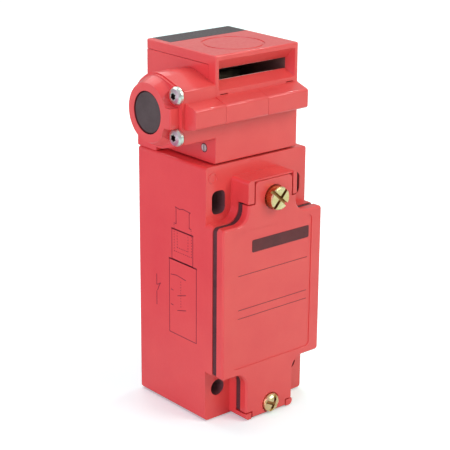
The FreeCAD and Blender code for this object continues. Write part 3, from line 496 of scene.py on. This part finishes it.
# a coil of round wire standing up from the XY plane
def addCoil(bm, coil):
    before = set(bm.verts)
    geom = list(bmesh.ops.create_circle(bm, cap_ends=True, radius=coil["wire"], segments=10)["verts"])
    bmesh.ops.rotate(bm, cent=(0, 0, 0), matrix=toCover, verts=geom)
    bmesh.ops.translate(bm, vec=(coil["radius"], 0, coil["wire"]), verts=geom)
    for vert in geom[:]:
        for part in (*vert.link_edges, *vert.link_faces):
            if part not in geom:
                geom.append(part)
    steps = coil["turns"] * coilSteps
    rise = (coil["high"] - coil["low"] - 2 * coil["wire"]) / steps
    bmesh.ops.spin(bm, geom=geom, cent=(0, 0, 0), axis=(0, 0, 1), dvec=(0, 0, rise),
                   angle=math.tau * coil["turns"], steps=steps)
    return [vert for vert in bm.verts if vert not in before]


def makeButtonCoil():
    bm = bmesh.new()
    addCoil(bm, buttonCoil)
    piece = finishPiece("buttonCoil", bm, finishes["spring_steel"],
                        Matrix.Rotation(math.radians(90), 3, "Y"),
                        (buttonCoil["low"], buttonCoil["y"], buttonCoil["z"]))
    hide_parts("button_spring")
    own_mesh(piece)


def makeReturnCoils():
    bm = bmesh.new()
    for place in returnCoils["places"]:
        bmesh.ops.translate(bm, vec=(place, 0, 0), verts=addCoil(bm, returnCoils))
    piece = finishPiece("returnCoils", bm, finishes["spring_steel"], None,
                        (0, returnCoils["y"], returnCoils["low"]))
    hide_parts("return_springs")
    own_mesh(piece)


makeButtonCoil()
makeReturnCoils()
print("springs")


# a white paper floor; reflections low on the left side see it darker, as in the photo
floorLook = {
    "size": 6.0, "drop": 0.0004, "roughness": 0.9, "lift": 0.285, "liftColour": (0.90, 1.0, 0.98, 1.0),
    "white": (0.70, 0.88, 0.83, 1.0), "seen": (0.80, 1.0, 0.95, 1.0), "reflected": (0.54, 0.13, 0.27, 1.0),
    "nearRise": 6.0, "farEnd": 0.52, "farFall": 12.0,
}


def makeFloor():
    bm = bmesh.new()
    bmesh.ops.create_grid(bm, x_segments=1, y_segments=1, size=floorLook["size"])
    mesh = bpy.data.meshes.new("floor")
    bm.to_mesh(mesh)
    bm.free()
    floor = bpy.data.objects.new("floor", mesh)
    scene.collection.objects.link(floor)
    floor.location.z = cadBox[0][2] - floorLook["drop"]
    look = Recipe("floorPaper")
    look.shader.inputs["Roughness"].default_value = floorLook["roughness"]
    path = look.add("ShaderNodeLightPath").outputs
    spot = look.axes(look.place)
    across = look.maths("SUBTRACT", spot[1], spot[0])
    near = look.maths("MULTIPLY", across, floorLook["nearRise"], clamp=True)
    far = look.maths("MULTIPLY", look.maths("SUBTRACT", floorLook["farEnd"], across), floorLook["farFall"],
                     clamp=True)
    # painted reflection: glossy rays low on the left see the floor dark red
    share = look.maths("MULTIPLY", look.maths("MULTIPLY", near, far), path["Is Glossy Ray"])
    bounced = look.mixColour(share, floorLook["white"], floorLook["reflected"])
    look.link(look.mixColour(path["Is Camera Ray"], bounced, floorLook["seen"]),
              look.shader.inputs["Base Color"])
    look.shader.inputs["Emission Color"].default_value = floorLook["liftColour"]
    look.link(look.maths("MULTIPLY", path["Is Camera Ray"], floorLook["lift"]),
              look.shader.inputs["Emission Strength"])
    mesh.materials.append(look.material)


worldLook = {"low": 0.30, "high": 0.594, "riseFrom": 0.15, "riseTo": -0.75, "sideFrom": 0.1, "sideTo": 0.9,
             "sideTint": (1.0, 0.46, 0.78, 1.0)}


# white where it is seen, softer and tinted towards the left where it only lights
def makeWorld():
    world = bpy.data.worlds.new("studio")
    scene.world = world
    world.use_nodes = True
    sky = Graph(world.node_tree)
    back = sky.tree.nodes["Background"]
    path = sky.add("ShaderNodeLightPath").outputs
    seen = sky.maths("MAXIMUM", path["Is Camera Ray"], path["Is Transmission Ray"])
    coming = sky.axes(sky.add("ShaderNodeNewGeometry").outputs["Incoming"])
    rise = sky.stretch(coming[2], worldLook["riseFrom"], worldLook["riseTo"], worldLook["low"],
                       worldLook["high"])
    level = sky.add("ShaderNodeMix")
    sky.link(seen, level.inputs[0])
    sky.link(rise, level.inputs[2])
    level.inputs[3].default_value = 1.0
    sky.link(level.outputs[0], back.inputs["Strength"])
    side = sky.stretch(coming[0], worldLook["sideFrom"], worldLook["sideTo"], 0.0, 1.0)
    unseen = sky.maths("SUBTRACT", side, seen, clamp=True)
    sky.link(sky.mixColour(unseen, (1.0, 1.0, 1.0, 1.0), worldLook["sideTint"]), back.inputs["Color"])


lamps = {
    "keyLamp": {"at": (0.45, -0.85, 0.75), "size": 0.60, "power": 5.7, "tint": (1.0, 0.97, 0.93)},
    "sideLamp": {"at": (-0.98, -0.26, 0.27), "size": 0.70, "power": 4.9, "tint": (1.0, 0.61, 0.92)},
    "glintLamp": {"at": (0.72, 0.12, 0.95), "size": 0.14, "power": 1.2, "tint": (1.0, 1.0, 1.0)},
    "topLamp": {"at": (0.12, 0.62, 0.85), "size": 0.80, "power": 3.3, "tint": (1.0, 0.97, 0.97)},
}
lookAt = Vector((0.0, -0.005, 0.055))


def makeLamps():
    for name, lamp in lamps.items():
        data = bpy.data.lights.new(name, "AREA")
        data.shape = "SQUARE"
        data.size = lamp["size"]
        data.energy = lamp["power"]
        data.color = lamp["tint"]
        thing = bpy.data.objects.new(name, data)
        thing.location = lamp["at"]
        thing.rotation_euler = (lookAt - Vector(lamp["at"])).to_track_quat("-Z", "Y").to_euler()
        scene.collection.objects.link(thing)


# the camera solved from the photo
shot = {
    "at": (-0.280228, -0.330264, 0.202202), "lens": 116.6, "sensor": 36.0, "near": 0.01,
    "right": (0.76226705, -0.64722151, 0.00729768),
    "up": (0.20252881, 0.24920712, 0.94703637),
    "back": (-0.61476095, -0.72041664, 0.32104338),
}


def makeCamera():
    data = bpy.data.cameras.new("photoCamera")
    data.lens = shot["lens"]
    data.sensor_width = shot["sensor"]
    data.clip_start = shot["near"]
    camera = bpy.data.objects.new("photoCamera", data)
    turn = Matrix((shot["right"], shot["up"], shot["back"])).transposed()
    camera.matrix_world = Matrix.Translation(shot["at"]) @ turn.to_4x4()
    scene.collection.objects.link(camera)
    scene.camera = camera


makeFloor()
makeWorld()
makeLamps()
makeCamera()
print("stage, lamps and camera")
